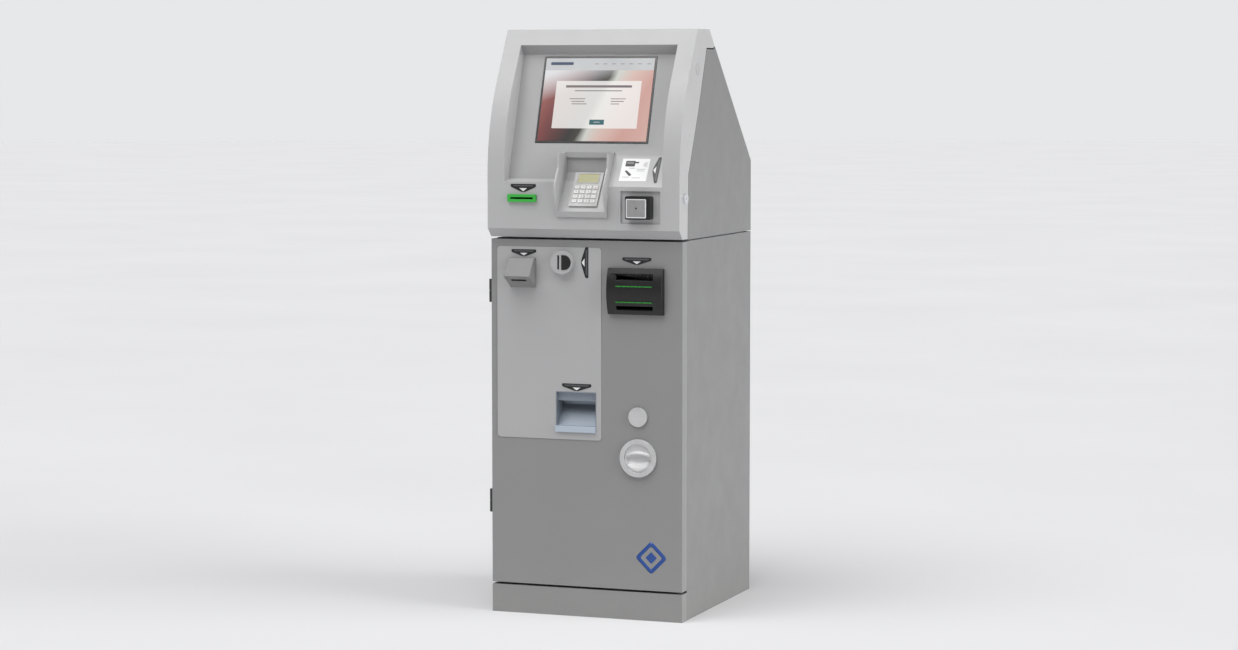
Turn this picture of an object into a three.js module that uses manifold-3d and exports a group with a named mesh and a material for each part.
// A floor-standing self-service payment kiosk: a sheet-steel cabinet with a hinged front door, and a head with
// a lifting fascia that carries the touch screen, the PIN pad, the card reader and the contactless reader.
//
// Millimetres, +Z up, the customer stands at -Y. The origin is the middle of the cabinet's footprint on the
// floor. Inside the assembly, y is counted from the front face of the door towards the back.

import * as THREE from 'three';
import { mergeVertices } from 'three/addons/utils/BufferGeometryUtils.js';
import Module from 'manifold-3d';

const wasm = await Module();
wasm.setup();

// ---------------------------------------------------------------- driving dimensions

// Cabinet
const cabinetWidth = 532;
const cabinetDepth = 571;
const seamHeight = 993;
const seamGap = 3;
const plinthHeight = 73.5;
const plinthGap = 6;
const sheet = 2;
const frontReturn = 38;
const fitGap = 0.3;
const panelGap = 1;
const floorThickness = 3;
const plinthRearGap = 3;
const upstandHeight = 60;
const upstandRearGap = 25;
const anchorX = 190;
const anchorDepths = [90, 480];
const anchorRadius = 7;
const cableHole = { x0: -150, x1: -70, y0: 470, y1: 520 };
const rearFlange = 18;
const ventHeight = 3.5;
const ventRows = 5;
const lowerVent = { columns: [-120, 0, 120], halfWidth: 42, firstZ: 860, pitch: 16 };
const upperVent = { columns: [-110, 110], halfWidth: 50, firstZ: 1090, pitch: 15 };
const inletHalfWidth = 26;
const inletHalfHeight = 17;

// Head
const headHeight = 1538;
const shoulderHeight = 1186;
const roofSetback = 44;
const roofFrontDrop = 44;
const roofGap = 5.5;
const coverFlange = 16;
const headFootWidth = 22;
const headFootFront = 60;
const headFootRearGap = 26;

// Fascia
const fasciaReach = 25;
const fasciaSkin = 3;
const fasciaBottom = seamHeight + seamGap;
const fasciaChamfer = 23;
const fasciaStraightTop = 1157;
const fasciaRadius = 497;
const fasciaLean = THREE.MathUtils.degToRad(30);
const fasciaCapDepth = 96;
const recessWidth = 438;
const recessSoffit = 25;
const recessTopMargin = 5;
const screenTilt = THREE.MathUtils.degToRad(18.5);
const screenY = 76;
const screenZ = 1354;
const ledgeZ = 1149;
const ledgeDrop = 7;
const shoulderZ = 1216;
const inclineBottomZ = 1131;
const frontClear = -90;

// Display
const displayWidth = 315;
const displayHeight = 238.5;
const displayDepth = 34;
const displayProud = 1;
const displayBodyMargin = 12;

// PIN pad and its well
const wellWidth = 140;
const wellWall = 4;
const wellFrontY = -36;
const wellFloorZ = 1066;
const wellLip = 15;
const padWidth = 78;
const padLength = 103;
const padThickness = 24;
const padProud = 5;
const padPitch = THREE.MathUtils.degToRad(56);
const keyColumns = 4;
const keyRows = 4;
const keyPitchX = 17;
const keyPitchY = 14;
const keyWidth = 13;
const keyHeight = 10;
const keyProud = 2;
const keyPocketDepth = 7;
const keyClearance = 0.4;
const keyFieldOffset = -16;
const padWindowWidth = 56;
const padWindowHeight = 26;
const padWindowOffset = 33;

// Card reader
const cardX = -167.5;
const cardZ = 1098.5;
const cardBezelWidth = 80;
const cardBezelHeight = 20;
const cardBezelProud = 8;
const cardSlotWidth = 64;
const cardSlotHeight = 5;
const cardReaderDepth = 110;
const cardThroatWidth = 68;
const cardThroatHeight = 14;
const cardThroatDepth = 12;

// Contactless reader
const tapX = 159;
const tapZ = 1078;
const tapFrameWidth = 108;
const tapFrameHeight = 85;
const tapFrameDepth = 6;
const tapWidth = 68;
const tapHeight = 60;
const tapProud = 22;
const tapStemWidth = 60;
const tapStemHeight = 52;
const tapFaceWidth = 54;
const tapFaceHeight = 48;

// Fascia side lock
const sideLockY = 14;
const sideLockZ = 1101;
const sideLockRadius = 14;
const sideLockProud = 6;
const sideLockBarrel = 9.5;
const sideLockDepth = 26;
const camLength = 34;
const camThickness = 3;

// Gas strut on the left of the head
const strutInset = 30;
const strutBase = { y: 200, z: 1150 };
const strutTop = { y: 60, z: 1400 };
const strutRadius = 8;
const strutRodRadius = 4;
const strutBodyLength = 240;
const strutEyeRadius = 7;
const strutEyeThickness = 7;
const strutBossClearance = 1.5;

// Door and its trim plate
const doorBottom = plinthHeight + plinthGap;
const doorTop = seamHeight - seamGap;
const trimSide = 17;
const trimZ = 719;
const trimWidth = 292;
const trimHeight = 504;
const trimThickness = 1.5;
const trimRadius = 9;

// Door hinges
const hingePinOut = 12;
const hingePinY = 32;
const hingeRadius = 7.5;
const hingeLength = 61;
const hingeHeights = [292, 851];
const hingeLeaf = 4;
const hingePinRadius = 3;
const hingeSplit = 0.4;

// Scanner hood
const hoodInset = 74;
const hoodWidth = 72;
const hoodTop = 942;
const hoodNoseZ = 895;
const hoodBottom = 863;
const hoodTopReach = 17;
const hoodReach = 53;
const hoodWall = 2.5;
const scanWidth = 41;
const scanHeight = 9;
const scannerHalfWidth = 22;
const scannerRearY = 22;

// Coin inlet
const coinInset = 188;
const coinZ = 932;
const coinRadius = 30.5;
const coinProud = 20;
const coinBossRadius = 25;
const coinBossDepth = 12;
const coinSlotOffset = -9;
const coinSlotWidth = 6;
const coinSlotHeight = 37;
const coinButtonWidth = 26;
const coinButtonHeight = 38;
const coinButtonProud = 1.5;
const coinButtonDepth = 12;

// Coin tray
const trayInset = 221.5;
const trayWidth = 109;
const trayBottom = 503;
const trayTop = 591;
const trayDepth = 52;
const trayBrowY = 10;
const trayBrowDrop = 23;
const trayBrowThickness = 3;
const trayShelfDepth = 10;
const traySlopeTop = 556;
const trayFeedWidth = 50;
const trayFeedBottom = 564;
const trayFeedTop = 582;
const trayWall = 1.5;
const trayLipDrop = 16;
const trayLipProud = 6;

// Banknote bezel
const noteSide = 125;
const noteZ = 860;
const noteBezelWidth = 152;
const noteBezelHeight = 120;
const noteBezelEdge = 12;
const noteBezelBulge = 13;
const noteSlotWidth = 100;
const noteInsertZ = 897.5;
const noteInsertHeight = 16;
const noteReturnZ = 817;
const noteReturnHeight = 11;
const noteBossDepth = 26;
const noteBossWidth = 114;
const noteBossHeight = 106;
const noteHoleMargin = 2;

// Door lock and handle
const lockSide = 120.5;
const lockZ = 533.5;
const lockCoverRadius = 25.5;
const lockCoverThickness = 4.5;
const lockCoverPinDrop = 5.5;
const lockPlugRadius = 6;
const lockBodyRadius = 11;
const lockBodyDepth = 30;
const lockFlangeRadius = 15;
const handleSide = 120;
const handleZ = 426;
const handleRadius = 50;
const handleProud = 9;
const rotorRadius = 37;
const rotorProud = 7;
const pocketDepth = 15;
const pocketRim = 6;
const pocketDrop = 3;
const dishDepth = 3;
const dishRise = 12;
const cupWall = 3;
const cupDepth = 22;
const spindleRadius = 6;
const boltHeight = 22;
const boltThickness = 6;
const boltY = 44;
const hookBelow = 290;
const hookAbove = 388;
const frontFlange = 20;

// Inside the cabinet
const shelfZ = 600;
const shelfFrontY = 112;
const shelfRearGap = 22;
const shelfLip = 22;
const inletSide = 116;
const inletZ = 140;
const computerClear = 91;
const computerDepth = 180;
const computerHalfWidth = 120;
const computerHeight = 80;
const recyclerHalfWidth = 62;
const recyclerStandoff = 34;
const recyclerLength = 300;
const hopperFrontY = 130;
const hopperRearY = 330;
const hopperHeight = 150;
const hopperLeft = 150;
const hopperRight = 15;
const supplyHalfWidth = 75;
const supplyDepth = 170;
const supplyBottom = 60;
const supplyTop = 190;

// ---------------------------------------------------------------- derived sizes

const halfWidth = cabinetWidth / 2;
const innerHalf = halfWidth - sheet - fitGap;
const sideFrontY = frontReturn + panelGap;
const sideTop = seamHeight - seamGap / 2;
const headBottom = seamHeight + seamGap / 2;
const screenSlope = Math.tan(screenTilt);
const recessHalf = recessWidth / 2;
const strutX = -halfWidth + strutInset;
const trimX = -halfWidth + trimSide + trimWidth / 2;
const trimLeft = trimX - trimWidth / 2;
const hoodX = trimLeft + hoodInset;
const coinX = trimLeft + coinInset;
const trayX = trimLeft + trayInset;
const noteX = halfWidth - noteSide;
const lockX = halfWidth - lockSide;
const handleX = halfWidth - handleSide;
const hingePinX = -halfWidth - hingePinOut;
const inletX = halfWidth - inletSide;
const wellHalf = wellWidth / 2;
const wellSlope = Math.tan(padPitch);
const wellBackZ = shoulderZ - 51;
const wellBackY = wellFrontY + (wellBackZ - wellFloorZ) / wellSlope;

const recessFloorY = (z) => screenY + (z - screenZ) * screenSlope;

function fasciaFrontY(z) {
  const arcTopZ = fasciaStraightTop + fasciaRadius * Math.sin(fasciaLean);
  if (z <= fasciaStraightTop) return -fasciaReach;
  if (z <= arcTopZ) {
    const rise = z - fasciaStraightTop;
    return -fasciaReach + fasciaRadius - Math.sqrt(fasciaRadius ** 2 - rise ** 2);
  }
  const arcTopY = -fasciaReach + fasciaRadius * (1 - Math.cos(fasciaLean));
  return arcTopY + (z - arcTopZ) * Math.tan(fasciaLean);
}

const capFrontY = fasciaFrontY(headHeight);
const capRearY = capFrontY + fasciaCapDepth;
const roofFrontY = capRearY + roofSetback;
const roofFrontZ = headHeight - roofFrontDrop;
const liftPivot = { y: roofFrontY - 4, z: roofFrontZ - 3 };
const capEnd = { y: roofFrontY - roofGap, z: roofFrontZ + 4 };

// ---------------------------------------------------------------- materials

function paint(color, roughness, metalness = 0) {
  return new THREE.MeshStandardMaterial({ color, roughness, metalness });
}

const materials = {
  body: paint(0x8c8c8c, 0.55),
  door: paint(0x8c8c8c, 0.55),
  trim: paint(0xaaaaaa, 0.5),
  fascia: paint(0xb3b3b3, 0.5),
  steel: paint(0xa8b3c2, 0.32, 1),
  zinc: paint(0xb9bcc0, 0.45, 1),
  chrome: paint(0xdadde0, 0.15, 1),
  black: paint(0x1d1e1f, 0.45),
  glass: paint(0x202428, 0.08),
  green: paint(0x2f9b3a, 0.35),
  pale: paint(0xc2c2c2, 0.4),
  module: paint(0x5c6064, 0.5),
};

// ---------------------------------------------------------------- solid helpers

function toSolid(geometry) {
  const bare = geometry.index ? geometry.clone() : geometry;
  bare.deleteAttribute('normal');
  bare.deleteAttribute('uv');
  const merged = mergeVertices(bare, 1e-4);
  const vertProperties = new Float32Array(merged.attributes.position.array);
  const triVerts = new Uint32Array(merged.index.array);
  return new wasm.Manifold(new wasm.Mesh({ numProp: 3, vertProperties, triVerts }));
}

function toGeometry(solid) {
  const { vertProperties, triVerts } = solid.getMesh();
  const geometry = new THREE.BufferGeometry();
  geometry.setAttribute('position', new THREE.BufferAttribute(vertProperties, 3));
  geometry.setIndex(new THREE.BufferAttribute(triVerts, 1));
  geometry.computeVertexNormals();
  return geometry;
}

function block(x0, x1, y0, y1, z0, z1) {
  const geometry = new THREE.BoxGeometry(x1 - x0, y1 - y0, z1 - z0);
  geometry.translate((x0 + x1) / 2, (y0 + y1) / 2, (z0 + z1) / 2);
  return toSolid(geometry);
}

function shapeOf(points) {
  if (points instanceof THREE.Shape) return points;
  return new THREE.Shape(points.map(([u, v]) => new THREE.Vector2(u, v)));
}

function extrude(points, depth, curveSegments = 8) {
  return new THREE.ExtrudeGeometry(shapeOf(points), { depth, bevelEnabled: false, curveSegments });
}

// A block centred on (x, z), running from y0 to y1.
function frontBlock(x, z, width, height, y0, y1) {
  return block(x - width / 2, x + width / 2, y0, y1, z - height / 2, z + height / 2);
}

// Points are (y, z); the solid runs from x0 to x1.
function prismX(points, x0, x1) {
  const geometry = extrude(points, x1 - x0);
  const axes = new THREE.Matrix4().makeBasis(
    new THREE.Vector3(0, 1, 0), new THREE.Vector3(0, 0, 1), new THREE.Vector3(1, 0, 0));
  geometry.applyMatrix4(axes).translate(x0, 0, 0);
  return toSolid(geometry);
}

// Points are (x, z); the solid runs from y0 to y1.
function prismY(points, y0, y1, curveSegments) {
  const geometry = extrude(points, y1 - y0, curveSegments);
  geometry.rotateX(Math.PI / 2).translate(0, y1, 0);
  return toSolid(geometry);
}

function rod(axis, from, to, radius, a = 0, b = 0, segments = 24) {
  const geometry = new THREE.CylinderGeometry(radius, radius, to - from, segments);
  const middle = (from + to) / 2;
  if (axis === 'x') geometry.rotateZ(Math.PI / 2).translate(middle, a, b);
  if (axis === 'y') geometry.translate(a, middle, b);
  if (axis === 'z') geometry.rotateX(Math.PI / 2).translate(a, b, middle);
  return toSolid(geometry);
}

function roundedRectangle(width, height, radius, cx = 0, cz = 0) {
  const x = cx - width / 2;
  const z = cz - height / 2;
  const shape = new THREE.Shape();
  shape.moveTo(x + radius, z);
  shape.lineTo(x + width - radius, z);
  shape.absarc(x + width - radius, z + radius, radius, -Math.PI / 2, 0);
  shape.lineTo(x + width, z + height - radius);
  shape.absarc(x + width - radius, z + height - radius, radius, 0, Math.PI / 2);
  shape.lineTo(x + radius, z + height);
  shape.absarc(x + radius, z + height - radius, radius, Math.PI / 2, Math.PI);
  shape.lineTo(x, z + radius);
  shape.absarc(x + radius, z + radius, radius, Math.PI, Math.PI * 1.5);
  return shape;
}

function join(...solids) {
  return solids.reduce((whole, next) => whole.add(next));
}

function cut(solid, ...tools) {
  return tools.reduce((rest, tool) => rest.subtract(tool), solid);
}

function addPart(group, name, solid, material) {
  const mesh = new THREE.Mesh(toGeometry(solid), material);
  mesh.name = name;
  group.add(mesh);
  return mesh;
}

// ---------------------------------------------------------------- cabinet

function plinth() {
  const behind = sideFrontY + fitGap;
  const upstandRear = cabinetDepth - upstandRearGap;
  const base = join(
    block(-halfWidth, halfWidth, 0, frontReturn, 0, sheet),
    block(-innerHalf, innerHalf, 0, cabinetDepth - plinthRearGap, 0, floorThickness),
    block(-halfWidth, halfWidth, 0, sheet, 0, plinthHeight),
    block(-halfWidth, -halfWidth + sheet, 0, frontReturn, 0, plinthHeight),
    block(halfWidth - sheet, halfWidth, 0, frontReturn, 0, plinthHeight),
    block(-innerHalf, innerHalf, 0, frontReturn, plinthHeight - sheet, plinthHeight),
    block(-innerHalf, -innerHalf + sheet, behind, upstandRear, 0, upstandHeight),
    block(innerHalf - sheet, innerHalf, behind, upstandRear, 0, upstandHeight),
  );
  const through = [-1, 2 * floorThickness];
  const places = [-anchorX, anchorX].flatMap((x) => anchorDepths.map((y) => [x, y]));
  const anchors = places.map(([x, y]) => rod('z', ...through, anchorRadius, x, y, 16));
  const { x0, x1, y0, y1 } = cableHole;
  return cut(base, ...anchors, block(x0, x1, y0, y1, ...through));
}

function cabinetSide(side) {
  const outer = side * halfWidth;
  const inner = side * (halfWidth - sheet);
  const flangeEnd = side * (halfWidth - sheet - frontFlange);
  const slab = (a, b, y0, y1, z0, z1) => block(Math.min(a, b), Math.max(a, b), y0, y1, z0, z1);
  return join(
    slab(inner, outer, sideFrontY, cabinetDepth, 0, sideTop),
    slab(flangeEnd, outer, sideFrontY, sideFrontY + sheet, plinthHeight + plinthGap, sideTop),
  );
}

function ventSlots({ columns, halfWidth: half, firstZ, pitch }) {
  const slots = [];
  for (const x of columns) {
    for (let row = 0; row < ventRows; row += 1) {
      const z = firstZ + row * pitch;
      slots.push(block(x - half, x + half, cabinetDepth - 5, cabinetDepth + 2, z, z + ventHeight));
    }
  }
  return slots;
}

function rearPanel() {
  const bottom = floorThickness + fitGap;
  const flangeY = cabinetDepth - rearFlange;
  const web = block(-innerHalf, innerHalf, cabinetDepth - sheet, cabinetDepth, bottom, sideTop);
  const left = block(-innerHalf, -innerHalf + sheet, flangeY, cabinetDepth, bottom, sideTop);
  const right = block(innerHalf - sheet, innerHalf, flangeY, cabinetDepth, bottom, sideTop);
  const inletWindow = block(inletX - inletHalfWidth, inletX + inletHalfWidth, cabinetDepth - 5,
    cabinetDepth + 2, inletZ - inletHalfHeight, inletZ + inletHalfHeight);
  return cut(join(web, left, right), ...ventSlots(lowerVent), inletWindow);
}

function headFloor() {
  const rear = cabinetDepth - shelfRearGap;
  const plate = block(-innerHalf, innerHalf, sideFrontY + 4, rear, sideTop - 3, sideTop - 1);
  const rimTop = headBottom - fitGap;
  const rimWidth = 22;
  const rimX = innerHalf - 8;
  const rimFront = 56;
  const rimRear = rear - 4;
  const rim = cut(
    block(-rimX, rimX, rimFront, rimRear, sideTop - 2, rimTop),
    block(-rimX + rimWidth, rimX - rimWidth, rimFront + 24, rimRear - 24, sideTop - 1, rimTop + 1),
  );
  const cablePass = block(-70, 70, 230, 290, sideTop - 9, rimTop + 1);
  return cut(join(plate, rim), cablePass);
}

function moduleShelf() {
  const rear = cabinetDepth - shelfRearGap;
  return join(
    block(-innerHalf, innerHalf, shelfFrontY, rear, shelfZ - sheet, shelfZ),
    block(-innerHalf, innerHalf, shelfFrontY, shelfFrontY + sheet, shelfZ - shelfLip, shelfZ),
    block(-innerHalf, innerHalf, rear - sheet, rear, shelfZ - shelfLip, shelfZ),
  );
}

// The edge where the fascia's side wing meets the head's side panel, from the seam up to the cap.
const wingKnee = { y: 44, z: 1162 };
const wingTop = { y: capRearY - 24, z: headHeight - 49 };
const wingBow = 6;
const wingRear = [
  [sideFrontY, seamHeight],
  [wingKnee.y, wingKnee.z],
  [(wingKnee.y + wingTop.y) / 2 + wingBow, (wingKnee.z + wingTop.z) / 2],
  [wingTop.y, wingTop.z],
];

function headSide(side) {
  const shift = 2;
  const edge = wingRear.map(([y, z]) => [y + shift, Math.max(z, headBottom)]);
  const top = edge[edge.length - 1];
  top[1] -= 3;
  const outline = [
    ...edge, [roofFrontY - 4, top[1]], [roofFrontY, roofFrontZ],
    [cabinetDepth, shoulderHeight], [cabinetDepth, headBottom],
  ].reverse();
  const x0 = side > 0 ? halfWidth - sheet : -halfWidth;
  const plate = prismX(outline, x0, x0 + sheet);
  const footInner = side * (halfWidth - sheet - headFootWidth);
  const footOuter = side * (halfWidth - sheet / 2);
  const foot = block(Math.min(footInner, footOuter), Math.max(footInner, footOuter),
    headFootFront, cabinetDepth - headFootRearGap, headBottom, headBottom + sheet);
  return join(plate, foot);
}

function strutBoss({ y, z }) {
  const end = strutX - strutRadius - strutBossClearance;
  return rod('x', -halfWidth + 1, end, strutEyeRadius, y, z, 16);
}

function headSideWithStrutBoss() {
  return join(headSide(-1), strutBoss(strutBase));
}

// The cover's section: the sheet from the roof's front edge, over the shoulder and down the back.
function coverBand(depth) {
  const run = cabinetDepth - roofFrontY;
  const fall = roofFrontZ - shoulderHeight;
  const length = Math.hypot(run, fall);
  const inY = (fall / length) * depth;
  const inZ = (run / length) * depth;
  const bendZ = shoulderHeight - inZ + ((inY - depth) * -fall) / run;
  const outline = [
    [roofFrontY, roofFrontZ], [cabinetDepth, shoulderHeight], [cabinetDepth, headBottom],
    [cabinetDepth - depth, headBottom], [cabinetDepth - depth, bendZ],
    [roofFrontY - inY, roofFrontZ - inZ],
  ];
  return outline.reverse();
}

function headCover() {
  const edge = innerHalf;
  const frontTrim = block(-halfWidth, halfWidth, 0, roofFrontY, 0, headHeight);
  const skin = prismX(coverBand(sheet), -edge, edge);
  const flanges = [[-edge, -edge + sheet], [edge - sheet, edge]].map(
    ([x0, x1]) => prismX(coverBand(coverFlange), x0, x1));
  return cut(join(skin, ...flanges), frontTrim, ...ventSlots(upperVent));
}

// ---------------------------------------------------------------- fascia

function arcPoints(radius, from, to, steps) {
  const centreY = -fasciaReach + fasciaRadius;
  const points = [];
  for (let i = 0; i <= steps; i += 1) {
    const angle = from + ((to - from) * i) / steps;
    points.push([centreY - radius * Math.cos(angle), fasciaStraightTop + radius * Math.sin(angle)]);
  }
  return points;
}

const capLip = 2.4;

function fasciaOutline() {
  return [
    [-2, fasciaBottom], [-fasciaReach, fasciaBottom + fasciaChamfer],
    ...arcPoints(fasciaRadius, 0, fasciaLean, 10),
    [capFrontY, headHeight], [capRearY, headHeight], [capEnd.y, capEnd.z],
    [capEnd.y - capLip, capEnd.z - 1.6],
    [roofFrontY - 13, wingTop.z], ...wingRear.slice(1).reverse(), [wingRear[0][0], fasciaBottom],
  ].reverse();
}

function fasciaHollow() {
  const skin = fasciaSkin;
  const innerTopY = capFrontY + skin * 0.6;
  const rearY = roofFrontY + 40;
  const openTop = wingTop.z - 40;
  const openBottom = fasciaBottom - 9;
  const floorRear = 32;
  return [
    [1, fasciaBottom + skin], [-fasciaReach + skin, fasciaBottom + fasciaChamfer + 1],
    ...arcPoints(fasciaRadius - skin, 0, fasciaLean, 10),
    [innerTopY, headHeight - skin], [capRearY - 1, headHeight - skin],
    [capEnd.y - capLip, capEnd.z - 0.6], [capEnd.y - capLip, openTop],
    [rearY, openTop], [rearY, openBottom], [floorRear, openBottom], [floorRear, fasciaBottom + skin],
  ].reverse();
}

const recessTopBack = screenZ + (displayHeight / 2) * Math.cos(screenTilt) + recessTopMargin;
const recessTopZ = recessTopBack + recessSoffit;

// Each zone of the recess is a prism; back is how far its skin lies behind the visible surface.
function recessUpper(back) {
  const soffitY = fasciaFrontY(recessTopZ);
  const floorAt = (z) => [recessFloorY(z) + back, z];
  return [
    [frontClear, shoulderZ], floorAt(shoulderZ), floorAt(recessTopBack),
    [soffitY + back, recessTopZ + back * 0.6], [soffitY - 35, recessTopZ + 45],
  ];
}

function recessLedge(back) {
  return [
    [frontClear, ledgeZ - ledgeDrop * 2.2 - back], [-fasciaReach, ledgeZ - ledgeDrop - back],
    [recessFloorY(ledgeZ) + back, ledgeZ - back], [recessFloorY(shoulderZ) + back, shoulderZ],
    [frontClear, shoulderZ],
  ];
}

function recessIncline(back) {
  const topY = recessFloorY(shoulderZ) + back;
  return [
    [frontClear, inclineBottomZ - back], [-fasciaReach, inclineBottomZ - back],
    [topY, shoulderZ - back], [topY, shoulderZ], [frontClear, shoulderZ],
  ];
}

// The cheeks of the PIN well bulge out past the fascia and run back to the recess floor.
function wellCheek() {
  const profile = [
    [14, shoulderZ + 2], [-20, 1184], [-46, 1146], [-54, 1118], [-47, 1088], [-30, wellFloorZ - wellLip],
  ];
  const curve = new THREE.SplineCurve(profile.map(([y, z]) => new THREE.Vector2(y, z)));
  const front = curve.getPoints(12).map((p) => [p.x, p.y]);
  const back = wellBackY + 12;
  return [[back, shoulderZ + 2], ...front, [back, wellFloorZ - wellLip]];
}

function wellInside() {
  const deep = padProud / Math.sin(padPitch);
  const clearY = -120;
  const overlap = 12;
  const floorY = recessFloorY(shoulderZ);
  return [
    [clearY, wellFloorZ], [wellFrontY + deep, wellFloorZ],
    [wellBackY + deep, wellBackZ], [wellBackY + deep, shoulderZ - overlap],
    [floorY, shoulderZ - overlap], [floorY + 0.5, shoulderZ + overlap], [clearY, shoulderZ + overlap],
  ];
}

function wellHollow() {
  const deep = (padProud / Math.sin(padPitch)) + 4.5;
  const frontY = wellFrontY + 14;
  const rearY = 200;
  const bottom = wellFloorZ - wellLip - 3;
  const top = shoulderZ + 10;
  return [
    [frontY, bottom], [frontY, wellFloorZ - 6], [wellBackY + deep, wellBackZ - 6],
    [wellBackY + deep, top], [rearY, top], [rearY, bottom],
  ];
}

function tiltedBlock(width, height, y0, y1, clearance = 0) {
  const geometry = new THREE.BoxGeometry(width + 2 * clearance, y1 - y0, height + 2 * clearance);
  geometry.translate(0, (y0 + y1) / 2, 0).rotateX(-screenTilt).translate(0, screenY, screenZ);
  return toSolid(geometry);
}

function padBlock(width, length, z0, z1, clearance = 0, offsetY = 0) {
  const geometry = new THREE.BoxGeometry(width + 2 * clearance, length + 2 * clearance, z1 - z0);
  geometry.translate(0, offsetY, (z0 + z1) / 2).rotateX(padPitch);
  return toSolid(geometry.translate(0, padCentre.y, padCentre.z));
}

const padCentre = {
  y: (wellFrontY + 10 + wellBackY) / 2,
  z: wellFloorZ + ((wellFrontY + 10 + wellBackY) / 2 - wellFrontY) * wellSlope,
};

function fasciaWithRecess() {
  const wall = fasciaSkin;
  const outer = prismX(fasciaOutline(), -halfWidth, halfWidth);
  const hollow = prismX(fasciaHollow(), -halfWidth + wall, halfWidth - wall);
  const tapFloor = roundedRectangle(tapFrameWidth + 8, tapFrameHeight + 8, 4, tapX, tapZ);
  const backing = join(
    prismX(recessUpper(wall), -recessHalf - wall, recessHalf + wall),
    prismX(recessLedge(wall), -recessHalf - wall, -wellHalf + 1),
    prismX(recessIncline(wall), wellHalf - 1, recessHalf + wall),
    prismX(recessLedge(wall), -wellHalf, wellHalf),
    prismY(tapFloor, -fasciaReach + 1, -fasciaReach + tapFrameDepth + wall, 2),
  ).intersect(outer);
  const recess = join(
    prismX(recessUpper(0), -recessHalf, recessHalf),
    prismX(recessLedge(0), -recessHalf, -wellHalf),
    prismX(recessIncline(0), wellHalf, recessHalf),
  );
  return cut(join(cut(outer, hollow), backing), recess);
}

function fasciaShell() {
  const wellOuter = prismX(wellCheek(), -wellHalf, wellHalf);
  const wellInner = wellHalf - wellWall;
  const well = cut(wellOuter, prismX(wellHollow(), -wellInner, wellInner));
  const tapFrame = roundedRectangle(tapFrameWidth, tapFrameHeight, 3, tapX, tapZ);
  return cut(
    join(fasciaWithRecess(), well, strutBoss(strutTop)),
    prismX(wellInside(), -wellInner, wellInner),
    tiltedBlock(displayWidth, displayHeight, -2, 12, fitGap),
    padBlock(padWidth, padLength, -padThickness, 1, fitGap),
    frontBlock(cardX, cardZ, cardThroatWidth, cardThroatHeight, -fasciaReach - 1, -fasciaReach + 9),
    prismY(tapFrame, -fasciaReach - 5, -fasciaReach + tapFrameDepth, 2),
    frontBlock(tapX, tapZ, tapStemWidth, tapStemHeight, -fasciaReach, -fasciaReach + 20),
    rod('x', halfWidth - 10, halfWidth + 1, sideLockBarrel + fitGap, sideLockY, sideLockZ),
  );
}

function displayModule() {
  const border = 11;
  const margin = displayBodyMargin;
  const frame = tiltedBlock(displayWidth, displayHeight, -displayProud, fasciaSkin + 1);
  const body = tiltedBlock(displayWidth + margin, displayHeight + margin, fasciaSkin + 0.6, displayDepth);
  const panel = tiltedBlock(displayWidth - border, displayHeight - border, -displayProud - 1,
    -displayProud + 0.8);
  return cut(join(frame, body), panel);
}

function pinPadBody() {
  const shell = padBlock(padWidth, padLength, -padThickness, 0);
  const pockets = keyPlaces().map(({ x, y }) => padKeyBlock(x, y, -keyPocketDepth, 1, keyClearance));
  const window = padBlock(padWindowWidth, padWindowHeight, -1, 1, 0, padWindowOffset);
  return cut(shell, ...pockets, window);
}

function keyPlaces() {
  const places = [];
  for (let row = 0; row < keyRows; row += 1) {
    for (let column = 0; column < keyColumns; column += 1) {
      const x = (column - (keyColumns - 1) / 2) * keyPitchX;
      const y = ((keyRows - 1) / 2 - row) * keyPitchY + keyFieldOffset;
      places.push({ x, y, name: `key_${row + 1}_${column + 1}` });
    }
  }
  return places;
}

function padKeyBlock(x, y, z0, z1, clearance = 0) {
  const geometry = new THREE.BoxGeometry(keyWidth + 2 * clearance, keyHeight + 2 * clearance, z1 - z0);
  geometry.translate(x, y, (z0 + z1) / 2).rotateX(padPitch);
  return toSolid(geometry.translate(0, padCentre.y, padCentre.z));
}

function cardBezel() {
  const front = -fasciaReach;
  const outline = roundedRectangle(cardBezelWidth, cardBezelHeight, 3, cardX, cardZ);
  const face = prismY(outline, front - cardBezelProud, front - fitGap, 3);
  const throat = frontBlock(cardX, cardZ, cardThroatWidth - 1, cardThroatHeight - 1, front - 1,
    front + cardThroatDepth);
  const slot = frontBlock(cardX, cardZ, cardSlotWidth, cardSlotHeight, front - 20, front + 20);
  return cut(join(face, throat), slot);
}

function cardReader() {
  const half = 36;
  const below = 18;
  const above = 14;
  const y0 = -fasciaReach + cardThroatDepth + fitGap;
  const body = block(cardX - half, cardX + half, y0, y0 + cardReaderDepth, cardZ - below, cardZ + above);
  return cut(body, frontBlock(cardX, cardZ, cardSlotWidth, cardSlotHeight, y0 - 1, y0 + 60));
}

function contactlessReader() {
  const floorY = -fasciaReach + tapFrameDepth - fitGap;
  const frontY = -fasciaReach - tapProud;
  const housing = prismY(roundedRectangle(tapWidth, tapHeight, 4, tapX, tapZ), frontY, floorY, 3);
  const stem = frontBlock(tapX, tapZ, tapStemWidth - 1, tapStemHeight - 1, floorY - 1, floorY + 26);
  const faceOutline = roundedRectangle(tapFaceWidth, tapFaceHeight, 2, tapX, tapZ);
  const face = prismY(faceOutline, frontY - 1, frontY + 2, 2);
  return cut(join(housing, stem), face);
}

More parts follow.
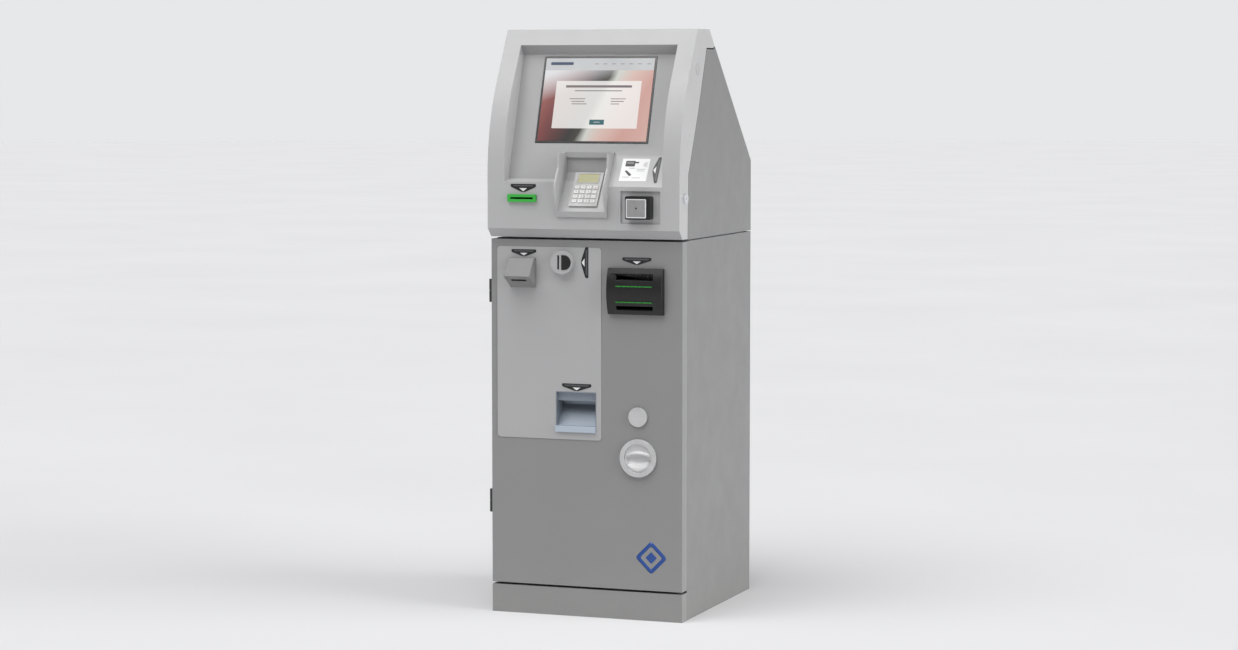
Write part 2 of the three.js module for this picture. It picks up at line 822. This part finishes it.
function fasciaLock() {
  const x = halfWidth;
  const y = sideLockY;
  const z = sideLockZ;
  const inner = x - sideLockDepth;
  const outer = x + sideLockProud;
  const head = rod('x', x + fitGap, outer, sideLockRadius, y, z, 28);
  const barrel = rod('x', inner, x + 1, sideLockBarrel, y, z, 20);
  const cam = block(inner, inner + camThickness, y - 8, y + 8, z - 8, z + camLength);
  const keyway = block(outer - 3, outer + 1, y - 0.8, y + 0.8, z - 4.5, z + 4.5);
  return cut(join(head, barrel, cam), keyway);
}

const liftKnuckleLength = 60;
const liftKnuckleRadius = 2.6;
const liftLeafThickness = 1.8;
const liftLeafSpan = [-180, 120];
const liftFixedStarts = [-180, -60, 60];
const liftMovingStarts = [-120, 0];

function liftKnuckles(starts) {
  const clear = 0.5;
  return starts.map((x) => rod('x', x + clear, x + liftKnuckleLength - clear, liftKnuckleRadius,
    liftPivot.y, liftPivot.z, 12));
}

// A leaf lies under a sheet: a strip of the given length that follows the sheet's inner face from its end.
function hingeLeafStrip(end, along, inward, offset, length) {
  const at = (run, depth) => [
    end.y + along[0] * run + inward[0] * depth,
    end.z + along[1] * run + inward[1] * depth,
  ];
  const deep = offset + liftLeafThickness;
  return [at(0, offset), at(0, deep), at(length, deep), at(length, offset)];
}

function roofDirection() {
  const run = cabinetDepth - roofFrontY;
  const fall = roofFrontZ - shoulderHeight;
  const length = Math.hypot(run, fall);
  return { along: [run / length, -fall / length], inward: [-fall / length, -run / length] };
}

function capDirection() {
  const run = capEnd.y - capRearY;
  const fall = headHeight - capEnd.z;
  const length = Math.hypot(run, fall);
  return { along: [-run / length, fall / length], inward: [-fall / length, -run / length] };
}

function liftHingeFixed() {
  const { along, inward } = roofDirection();
  const end = { y: roofFrontY, z: roofFrontZ };
  const leaf = prismX(hingeLeafStrip(end, along, inward, sheet + fitGap, 30), ...liftLeafSpan);
  const relief = liftMovingStarts.map((x) => rod('x', x - 0.5, x + liftKnuckleLength + 0.5,
    liftKnuckleRadius + 0.9, liftPivot.y, liftPivot.z, 12));
  return join(cut(leaf, ...relief), ...liftKnuckles(liftFixedStarts));
}

function liftHingeMoving() {
  const { along, inward } = capDirection();
  const strip = hingeLeafStrip(capEnd, along, inward, fasciaSkin + 0.2, 26);
  const leaf = prismX(strip, ...liftLeafSpan);
  const { y, z } = liftPivot;
  const arm = [strip[0], [y + 1.4, z + 1.8], [y - 0.6, z - 0.6], strip[1]].reverse();
  const arms = liftMovingStarts.map((x) => prismX(arm, x + 0.5, x + liftKnuckleLength - 0.5));
  return join(leaf, ...liftKnuckles(liftMovingStarts), ...arms);
}

function strutAngle() {
  return Math.atan2(strutTop.z - strutBase.z, strutTop.y - strutBase.y);
}

function placedStrut(solids) {
  const turned = join(...solids);
  const degrees = THREE.MathUtils.radToDeg(strutAngle());
  return turned.rotate([degrees, 0, 0]).translate([strutX, strutBase.y, strutBase.z]);
}

const strutLength = Math.hypot(strutTop.z - strutBase.z, strutTop.y - strutBase.y);

function strutEye(y) {
  const start = -strutRadius - 1;
  return rod('x', start, start + strutEyeThickness, strutEyeRadius, y, 0, 16);
}

function strutCylinder() {
  const bore = rod('y', 20, strutBodyLength + 5, strutRodRadius + fitGap, 0, 0, 16);
  const tube = rod('y', 12, strutBodyLength, strutRadius, 0, 0, 20);
  const neck = block(-strutRadius, -strutRadius + 6, 0, 14, -4, 4);
  return placedStrut([cut(tube, bore), strutEye(0), neck]);
}

function strutRod() {
  const shaft = rod('y', 34, strutLength - 10, strutRodRadius, 0, 0, 16);
  const neck = block(-strutRadius, strutRodRadius, strutLength - 16, strutLength - 2, -3.5, 3.5);
  return placedStrut([shaft, strutEye(strutLength), neck]);
}

// ---------------------------------------------------------------- door

function doorPanel() {
  const pan = cut(
    block(-halfWidth, halfWidth, 0, frontReturn, doorBottom, doorTop),
    block(-halfWidth + sheet, halfWidth - sheet, sheet, frontReturn + 1, doorBottom + sheet, doorTop - sheet),
  );
  return cut(pan, ...plateHoles(-1, sheet + 1), ...panelHoles(-1, sheet + 1));
}

function trimPlate() {
  const outline = roundedRectangle(trimWidth, trimHeight, trimRadius, trimX, trimZ);
  const plate = prismY(outline, -fitGap - trimThickness, -fitGap, 3);
  return cut(plate, ...plateHoles(-5, 1));
}

// The cut-outs that the door's units pass through: those shared with the trim plate, then the panel's own.
function plateHoles(y0, y1) {
  const tray = trayOuter();
  return [
    rod('y', y0, y1, coinBossRadius + fitGap, coinX, coinZ, 28),
    block(tray.x0 - fitGap, tray.x1 + fitGap, y0, y1, tray.z0 - fitGap, tray.z1 + fitGap),
    block(hoodX - scannerHalfWidth - 1, hoodX + scannerHalfWidth + 1, y0, y1, hoodBottom + 14, hoodTop - 12),
  ];
}

function panelHoles(y0, y1) {
  return [
    frontBlock(noteX, noteZ, noteBossWidth + noteHoleMargin, noteBossHeight + noteHoleMargin, y0, y1),
    rod('y', y0, y1, rotorRadius + cupWall + fitGap, handleX, handleZ, 32),
    rod('y', y0, y1, lockBodyRadius + fitGap, lockX, lockZ, 20),
  ];
}

const trimFront = -fitGap - trimThickness - fitGap;

function scannerHood() {
  const base = trimFront;
  const w = hoodWall;
  const outline = [[base, hoodTop], [-hoodTopReach, hoodTop], [-hoodReach, hoodNoseZ], [base, hoodBottom]];
  const inside = [
    [base + 1, hoodTop - w], [-hoodTopReach + 1, hoodTop - w], [-hoodReach + w * 1.6, hoodNoseZ + 0.3],
    [base + 1, hoodBottom + w * 1.3],
  ];
  const half = hoodWidth / 2;
  const shell = prismX(outline, hoodX - half, hoodX + half);
  const hollow = prismX(inside, hoodX - half + w, hoodX + half - w);
  return cut(shell, hollow, scanWindow(0));
}

// The window lies in the hood's underside, a third of the way back from its nose.
function scanWindow(grow) {
  const run = hoodReach + trimFront;
  const rise = hoodNoseZ - hoodBottom;
  const geometry = new THREE.BoxGeometry(scanWidth + 2 * grow, scanHeight + 2 * grow, 14);
  geometry.rotateX(Math.atan2(-rise, run));
  geometry.translate(hoodX, -hoodReach + run * 0.36, hoodNoseZ - rise * 0.36);
  return toSolid(geometry);
}

function scannerModule() {
  const top = hoodTop - 15;
  const bottom = hoodBottom + 17;
  return prismX([
    [scannerRearY, top], [-hoodTopReach + 4, top], [-hoodReach + 14, hoodNoseZ + 2],
    [-hoodReach + 22, hoodNoseZ - 8.5], [-8, bottom], [scannerRearY, bottom],
  ], hoodX - scannerHalfWidth, hoodX + scannerHalfWidth);
}

function coinSlot(y0, y1) {
  return frontBlock(coinX + coinSlotOffset, coinZ, coinSlotWidth, coinSlotHeight, y0, y1);
}

function coinBezel() {
  const front = -coinProud;
  const dome = rod('y', front, trimFront, coinRadius, coinX, coinZ, 40);
  const boss = rod('y', trimFront - 1, coinBossDepth, coinBossRadius, coinX, coinZ, 28);
  const pocket = prismY(buttonOutline(keyClearance), front - 1, front + coinButtonDepth + 6, 12);
  return cut(join(dome, boss), coinSlot(front - 1, coinBossDepth + 1), pocket);
}

function buttonOutline(grow) {
  const r = coinButtonHeight / 2 + grow;
  const flat = coinButtonWidth - coinButtonHeight / 2;
  const left = coinX - grow;
  const shape = new THREE.Shape();
  shape.moveTo(left, coinZ - r);
  shape.lineTo(coinX + flat, coinZ - r);
  shape.absarc(coinX + flat, coinZ, r, -Math.PI / 2, Math.PI / 2);
  shape.lineTo(left, coinZ + r);
  return shape;
}

function coinButton() {
  return prismY(buttonOutline(0), -coinProud - coinButtonProud, -coinProud + coinButtonDepth, 12);
}

function coinValidator() {
  const y0 = coinBossDepth + fitGap;
  const body = block(coinX - 34, coinX + 26, y0, y0 + 62, coinZ - 78, coinZ + 32);
  return cut(body, coinSlot(y0 - 1, y0 + 40));
}

function trayOuter() {
  return {
    x0: trayX - trayWidth / 2 - trayWall,
    x1: trayX + trayWidth / 2 + trayWall,
    z0: trayBottom - trayWall,
    z1: trayTop + trayWall,
  };
}

function coinTray() {
  const { x0, x1, z0, z1 } = trayOuter();
  const front = trimFront;
  const clearY = front - 20;
  const back = trayDepth - trayWall;
  const inside = [x0 + trayWall, x1 - trayWall];
  const browRear = trayBrowY + trayBrowThickness;
  const browBottom = trayTop - trayBrowDrop;
  const ceiling = trayTop - 2;
  const cup = block(x0, x1, front, trayDepth, z0, z1);
  const sill = block(x0, x1, front - trayLipProud, front + 5, z0, trayBottom);
  const lip = block(x0, x1, front - trayLipProud, front, trayBottom - trayLipDrop, trayBottom);
  const brow = block(...inside, clearY, trayBrowY, trayBottom, trayTop);
  const pan = prismX([
    [clearY, trayBottom], [trayShelfDepth, trayBottom + 1], [back, traySlopeTop], [back, ceiling],
    [browRear, ceiling], [browRear, browBottom], [clearY, browBottom],
  ], ...inside);
  const under = prismX([
    [trayShelfDepth + trayWall, z0 - 1], [trayDepth + 1, z0 - 1],
    [trayDepth + 1, traySlopeTop - 2 * trayWall], [trayShelfDepth + trayWall, trayBottom - trayWall],
  ], ...inside);
  const feed = block(trayX - trayFeedWidth / 2, trayX + trayFeedWidth / 2, trayDepth - 10, trayDepth + 5,
    trayFeedBottom, trayFeedTop);
  return cut(join(cup, sill, lip), brow, pan, under, feed);
}

function noteMouths(y0, y1) {
  return [
    frontBlock(noteX, noteInsertZ, noteSlotWidth, noteInsertHeight, y0, y1),
    frontBlock(noteX, noteReturnZ, noteSlotWidth, noteReturnHeight, y0, y1),
  ];
}

function noteBezel() {
  const half = noteBezelHeight / 2;
  const arcRadius = (half ** 2 + noteBezelBulge ** 2) / (2 * noteBezelBulge);
  const spread = Math.asin(half / arcRadius);
  const outline = [[-fitGap, noteZ - half], [-fitGap, noteZ + half]];
  const steps = 8;
  for (let i = 0; i <= steps; i += 1) {
    const angle = spread - (2 * spread * i) / steps;
    const y = -noteBezelEdge - noteBezelBulge + arcRadius * (1 - Math.cos(angle));
    outline.push([y, noteZ + arcRadius * Math.sin(angle)]);
  }
  const x0 = noteX - noteBezelWidth / 2;
  const face = prismX(outline, x0, x0 + noteBezelWidth);
  const boss = frontBlock(noteX, noteZ, noteBossWidth, noteBossHeight, -1, noteBossDepth);
  return cut(join(face, boss), ...noteMouths(-60, noteBossDepth + 5));
}

function lockBody() {
  const flange = rod('y', -1.8, -fitGap, lockFlangeRadius, lockX, lockZ, 24);
  const barrel = rod('y', -1, lockBodyDepth, lockBodyRadius, lockX, lockZ, 20);
  const bore = rod('y', -5, lockBodyDepth + 5, lockPlugRadius + fitGap, lockX, lockZ, 20);
  return cut(join(flange, barrel), bore);
}

function lockPlug() {
  const plug = rod('y', -1.6, lockBodyDepth + 6, lockPlugRadius, lockX, lockZ, 20);
  const cam = block(lockX - 7, lockX + 7, lockBodyDepth + 1, lockBodyDepth + 4, lockZ - 7, lockZ + 26);
  const keyway = block(lockX - 0.8, lockX + 0.8, -3, 1.5, lockZ - 4, lockZ + 4);
  return cut(join(plug, cam), keyway);
}

function lockCover() {
  const back = -2.2;
  const front = back - lockCoverThickness;
  const disc = rod('y', front, back, lockCoverRadius, lockX, lockZ, 36);
  const pivotZ = lockZ + lockCoverRadius - lockCoverPinDrop;
  const rivet = rod('y', front - 0.8, front + 1, 2.6, lockX, pivotZ, 16);
  const spacer = rod('y', back - 1, -fitGap, 3.5, lockX, pivotZ, 16);
  return join(disc, rivet, spacer);
}

function handleEscutcheon() {
  const floorY = cupDepth - 2;
  const ring = rod('y', -handleProud, -fitGap, handleRadius, handleX, handleZ, 44);
  const cup = rod('y', -1, cupDepth, rotorRadius + cupWall, handleX, handleZ, 32);
  const bore = rod('y', -handleProud - 1, floorY, rotorRadius + fitGap, handleX, handleZ, 36);
  const shaftHole = rod('y', floorY - 5, cupDepth + 3, spindleRadius + fitGap, handleX, handleZ, 20);
  return cut(join(ring, cup), bore, shaftHole);
}

// Half a disc about the handle's middle, the lower or the upper half, counted in half turns from +x.
function handleHalf(halfTurn, radius, depth, rise) {
  const start = halfTurn * Math.PI;
  const shape = new THREE.Shape();
  shape.moveTo(handleX + radius * Math.cos(start), handleZ);
  shape.absarc(handleX, handleZ, radius, start, start + Math.PI);
  return prismY(shape, -rotorProud - 1, -rotorProud + depth, 14).translate([0, 0, rise]);
}

function handleRotor() {
  const front = -rotorProud;
  const drum = rod('y', front, cupDepth - 2.5, rotorRadius, handleX, handleZ, 36);
  const shaft = rod('y', cupDepth - 3, boltY - 3, spindleRadius, handleX, handleZ, 20);
  const pocket = handleHalf(1, rotorRadius - pocketRim, pocketDepth, -pocketDrop);
  const dish = handleHalf(0, rotorRadius - pocketRim, dishDepth, dishRise);
  const dishLimit = rod('y', front - 2, front + dishDepth, rotorRadius - 4, handleX, handleZ, 36);
  return cut(join(drum, shaft), pocket, dish.intersect(dishLimit));
}

function handleCam() {
  const thickness = 5;
  const y0 = boltY - boltThickness - 0.5;
  const y1 = y0 + thickness;
  const disc = rod('y', y0, y1, 20, handleX, handleZ, 24);
  const hole = rod('y', y0 - 5, y1 + 15, spindleRadius + fitGap, handleX, handleZ, 20);
  const arm = block(handleX - 6, handleX + 6, y0, y1, handleZ + 10, handleZ + 34);
  return cut(join(disc, arm), hole);
}

function boltBar() {
  const restEnd = halfWidth - sheet - frontFlange - 2;
  const riserX = restEnd - 40;
  const y0 = boltY;
  const y1 = boltY + boltThickness;
  const z0 = handleZ - boltHeight / 2;
  const bar = block(handleX - 30, restEnd, y0, y1, z0, z0 + boltHeight);
  const riserBottom = handleZ - hookBelow - 10;
  const riserTop = handleZ + hookAbove + boltHeight + 10;
  const riser = block(riserX, riserX + boltHeight, y0, y1, riserBottom, riserTop);
  const hooks = [handleZ - hookBelow, handleZ + hookAbove].map(
    (z) => block(riserX, restEnd, y0, y1, z, z + boltHeight));
  return join(bar, riser, ...hooks);
}

function hingeFixed(z) {
  const half = hingeLength / 2;
  const top = z - hingeSplit;
  const side = -halfWidth - fitGap;
  const leafY = sideFrontY + 2;
  const knuckle = rod('z', z - half, top, hingeRadius, hingePinX, hingePinY, 20);
  const pin = rod('z', z - 5, z + half - 4, hingePinRadius, hingePinX, hingePinY, 16);
  const leaf = block(side - hingeLeaf, side, leafY, leafY + 30, z - half, top);
  const web = block(hingePinX, side, hingePinY, leafY + 8, z - half, top);
  const inset = block(side - 1, side + 30, hingePinY - 20, leafY, z - half - 1, z + half);
  return join(cut(join(knuckle, leaf, web), inset), pin);
}

function hingeMoving(z) {
  const half = hingeLength / 2;
  const bottom = z + hingeSplit;
  const side = -halfWidth - fitGap;
  const knuckle = rod('z', bottom, z + half, hingeRadius, hingePinX, hingePinY, 20);
  const bore = rod('z', z - 1, z + half - 3, hingePinRadius + 0.35, hingePinX, hingePinY, 16);
  const leaf = block(side - hingeLeaf, side, 6, frontReturn - 1, bottom, z + half);
  const web = block(hingePinX, side, hingePinY - hingeRadius, hingePinY - 3.6, bottom, z + half);
  return cut(join(knuckle, leaf, web), bore);
}

// ---------------------------------------------------------------- modules inside

function noteRecycler() {
  const front = noteBossDepth + recyclerStandoff;
  const nose = frontBlock(noteX, noteZ, 108, 112, front, front + 60);
  const body = block(noteX - recyclerHalfWidth, noteX + recyclerHalfWidth, front + 55,
    front + recyclerLength, noteZ - 130, noteZ + 62);
  return cut(join(nose, body), ...noteMouths(front - 2, front + 50));
}

function coinHopper() {
  const x0 = trayX - hopperLeft;
  const x1 = trayX + hopperRight;
  const wall = 4;
  const z0 = shelfZ + fitGap;
  const bowl = block(x0, x1, hopperFrontY, hopperRearY, z0, z0 + hopperHeight);
  const inside = block(x0 + wall, x1 - wall, hopperFrontY + wall, hopperRearY - wall, z0 + 40,
    z0 + hopperHeight + 1);
  return join(cut(bowl, inside), coinSpout());
}

// A chute from the hopper's front face down to the feed hole in the back of the tray.
function coinSpout() {
  const y0 = trayDepth + 3;
  const wall = 1.5;
  const half = trayFeedWidth / 2 - 1;
  const topZ = shelfZ + 40;
  const elbow = [[84, shelfZ + 12], [84, topZ], [hopperFrontY + 1, topZ], [hopperFrontY + 1, shelfZ],
    [106, shelfZ - 12]];
  const elbowInside = [[88, shelfZ + 7], [88, topZ - 4], [hopperFrontY - 1, topZ - 4],
    [hopperFrontY - 1, shelfZ + 4], [104, shelfZ - 9]];
  const outline = [[y0, trayFeedBottom - 5], [y0, trayFeedTop + 5], ...elbow];
  const inside = [[y0 - 1, trayFeedBottom - 2], [y0 - 1, trayFeedTop + 2], ...elbowInside];
  const shell = prismX(outline.reverse(), trayX - half, trayX + half);
  const hollow = prismX(inside.reverse(), trayX - half + wall, trayX + half - wall);
  const shelfNotch = block(trayX - 40, trayX + 40, shelfFrontY - 3, shelfFrontY + 23, shelfZ - 30,
    shelfZ + 3);
  return cut(shell, hollow, shelfNotch);
}

function computer() {
  const z0 = headBottom + 1;
  const rear = cabinetDepth - computerClear;
  return block(-computerHalfWidth, computerHalfWidth, rear - computerDepth, rear, z0, z0 + computerHeight);
}

function powerSupply() {
  const z0 = floorThickness + fitGap;
  const rear = cabinetDepth - sheet - fitGap;
  const feet = [150, 50].map((fromRear) => block(inletX - 70, inletX + 70, rear - fromRear,
    rear - fromRear + 20, z0, z0 + supplyBottom + 1));
  const body = block(inletX - supplyHalfWidth, inletX + supplyHalfWidth, rear - supplyDepth, rear,
    z0 + supplyBottom, z0 + supplyTop);
  const socketFace = frontBlock(inletX, inletZ, 2 * inletHalfWidth - 1, 2 * inletHalfHeight - 1, rear - 1,
    cabinetDepth);
  const socket = frontBlock(inletX, inletZ, 24, 17, rear - 16, cabinetDepth + 1);
  return cut(join(body, ...feet, socketFace), socket);
}

// ---------------------------------------------------------------- assembly

const kiosk = new THREE.Group();
const assembly = new THREE.Group();
assembly.position.y = -cabinetDepth / 2;
kiosk.add(assembly);

const cabinet = new THREE.Group();
addPart(cabinet, 'plinth', plinth(), materials.door);
addPart(cabinet, 'side_panel_left', cabinetSide(-1), materials.body);
addPart(cabinet, 'side_panel_right', cabinetSide(1), materials.body);
addPart(cabinet, 'rear_panel', rearPanel(), materials.body);
addPart(cabinet, 'head_floor', headFloor(), materials.zinc);
addPart(cabinet, 'module_shelf', moduleShelf(), materials.zinc);
addPart(cabinet, 'head_side_left', headSideWithStrutBoss(), materials.body);
addPart(cabinet, 'head_side_right', headSide(1), materials.body);
addPart(cabinet, 'head_cover', headCover(), materials.body);
addPart(cabinet, 'lift_hinge_fixed', liftHingeFixed(), materials.zinc);
addPart(cabinet, 'note_recycler', noteRecycler(), materials.module);
addPart(cabinet, 'coin_hopper', coinHopper(), materials.module);
addPart(cabinet, 'computer', computer(), materials.module);
addPart(cabinet, 'power_supply', powerSupply(), materials.module);

const door = new THREE.Group();
addPart(door, 'door_panel', doorPanel(), materials.door);
addPart(door, 'trim_plate', trimPlate(), materials.trim);
addPart(door, 'scanner_hood', scannerHood(), materials.door);
addPart(door, 'scanner_module', scannerModule(), materials.black);
addPart(door, 'coin_inlet_bezel', coinBezel(), materials.trim);
addPart(door, 'coin_return_button', coinButton(), materials.black);
addPart(door, 'coin_validator', coinValidator(), materials.module);
addPart(door, 'coin_tray', coinTray(), materials.steel);
addPart(door, 'note_bezel', noteBezel(), materials.black);
addPart(door, 'lock_body', lockBody(), materials.zinc);
addPart(door, 'lock_plug', lockPlug(), materials.chrome);
addPart(door, 'lock_cover', lockCover(), materials.pale);
addPart(door, 'handle_escutcheon', handleEscutcheon(), materials.pale);
addPart(door, 'handle_rotor', handleRotor(), materials.pale);
addPart(door, 'handle_cam', handleCam(), materials.zinc);
addPart(door, 'bolt_bar', boltBar(), materials.zinc);

['lower', 'upper'].forEach((level, i) => {
  addPart(cabinet, `door_hinge_${level}_fixed`, hingeFixed(hingeHeights[i]), materials.black);
  addPart(door, `door_hinge_${level}_moving`, hingeMoving(hingeHeights[i]), materials.black);
});

const fascia = new THREE.Group();
addPart(fascia, 'fascia_shell', fasciaShell(), materials.fascia);
addPart(fascia, 'display_module', displayModule(), materials.glass);
addPart(fascia, 'pin_pad_body', pinPadBody(), materials.pale);
addPart(fascia, 'card_bezel', cardBezel(), materials.green);
addPart(fascia, 'card_reader', cardReader(), materials.module);
addPart(fascia, 'contactless_reader', contactlessReader(), materials.black);
addPart(fascia, 'fascia_lock', fasciaLock(), materials.chrome);
addPart(fascia, 'lift_hinge_moving', liftHingeMoving(), materials.zinc);
for (const { x, y, name } of keyPlaces()) {
  addPart(fascia, name, padKeyBlock(x, y, -keyPocketDepth + 2.5, keyProud), materials.pale);
}

const strut = new THREE.Group();
addPart(strut, 'gas_strut_cylinder', strutCylinder(), materials.black);
addPart(strut, 'gas_strut_rod', strutRod(), materials.chrome);

assembly.add(cabinet, door, fascia, strut);

export default kiosk;
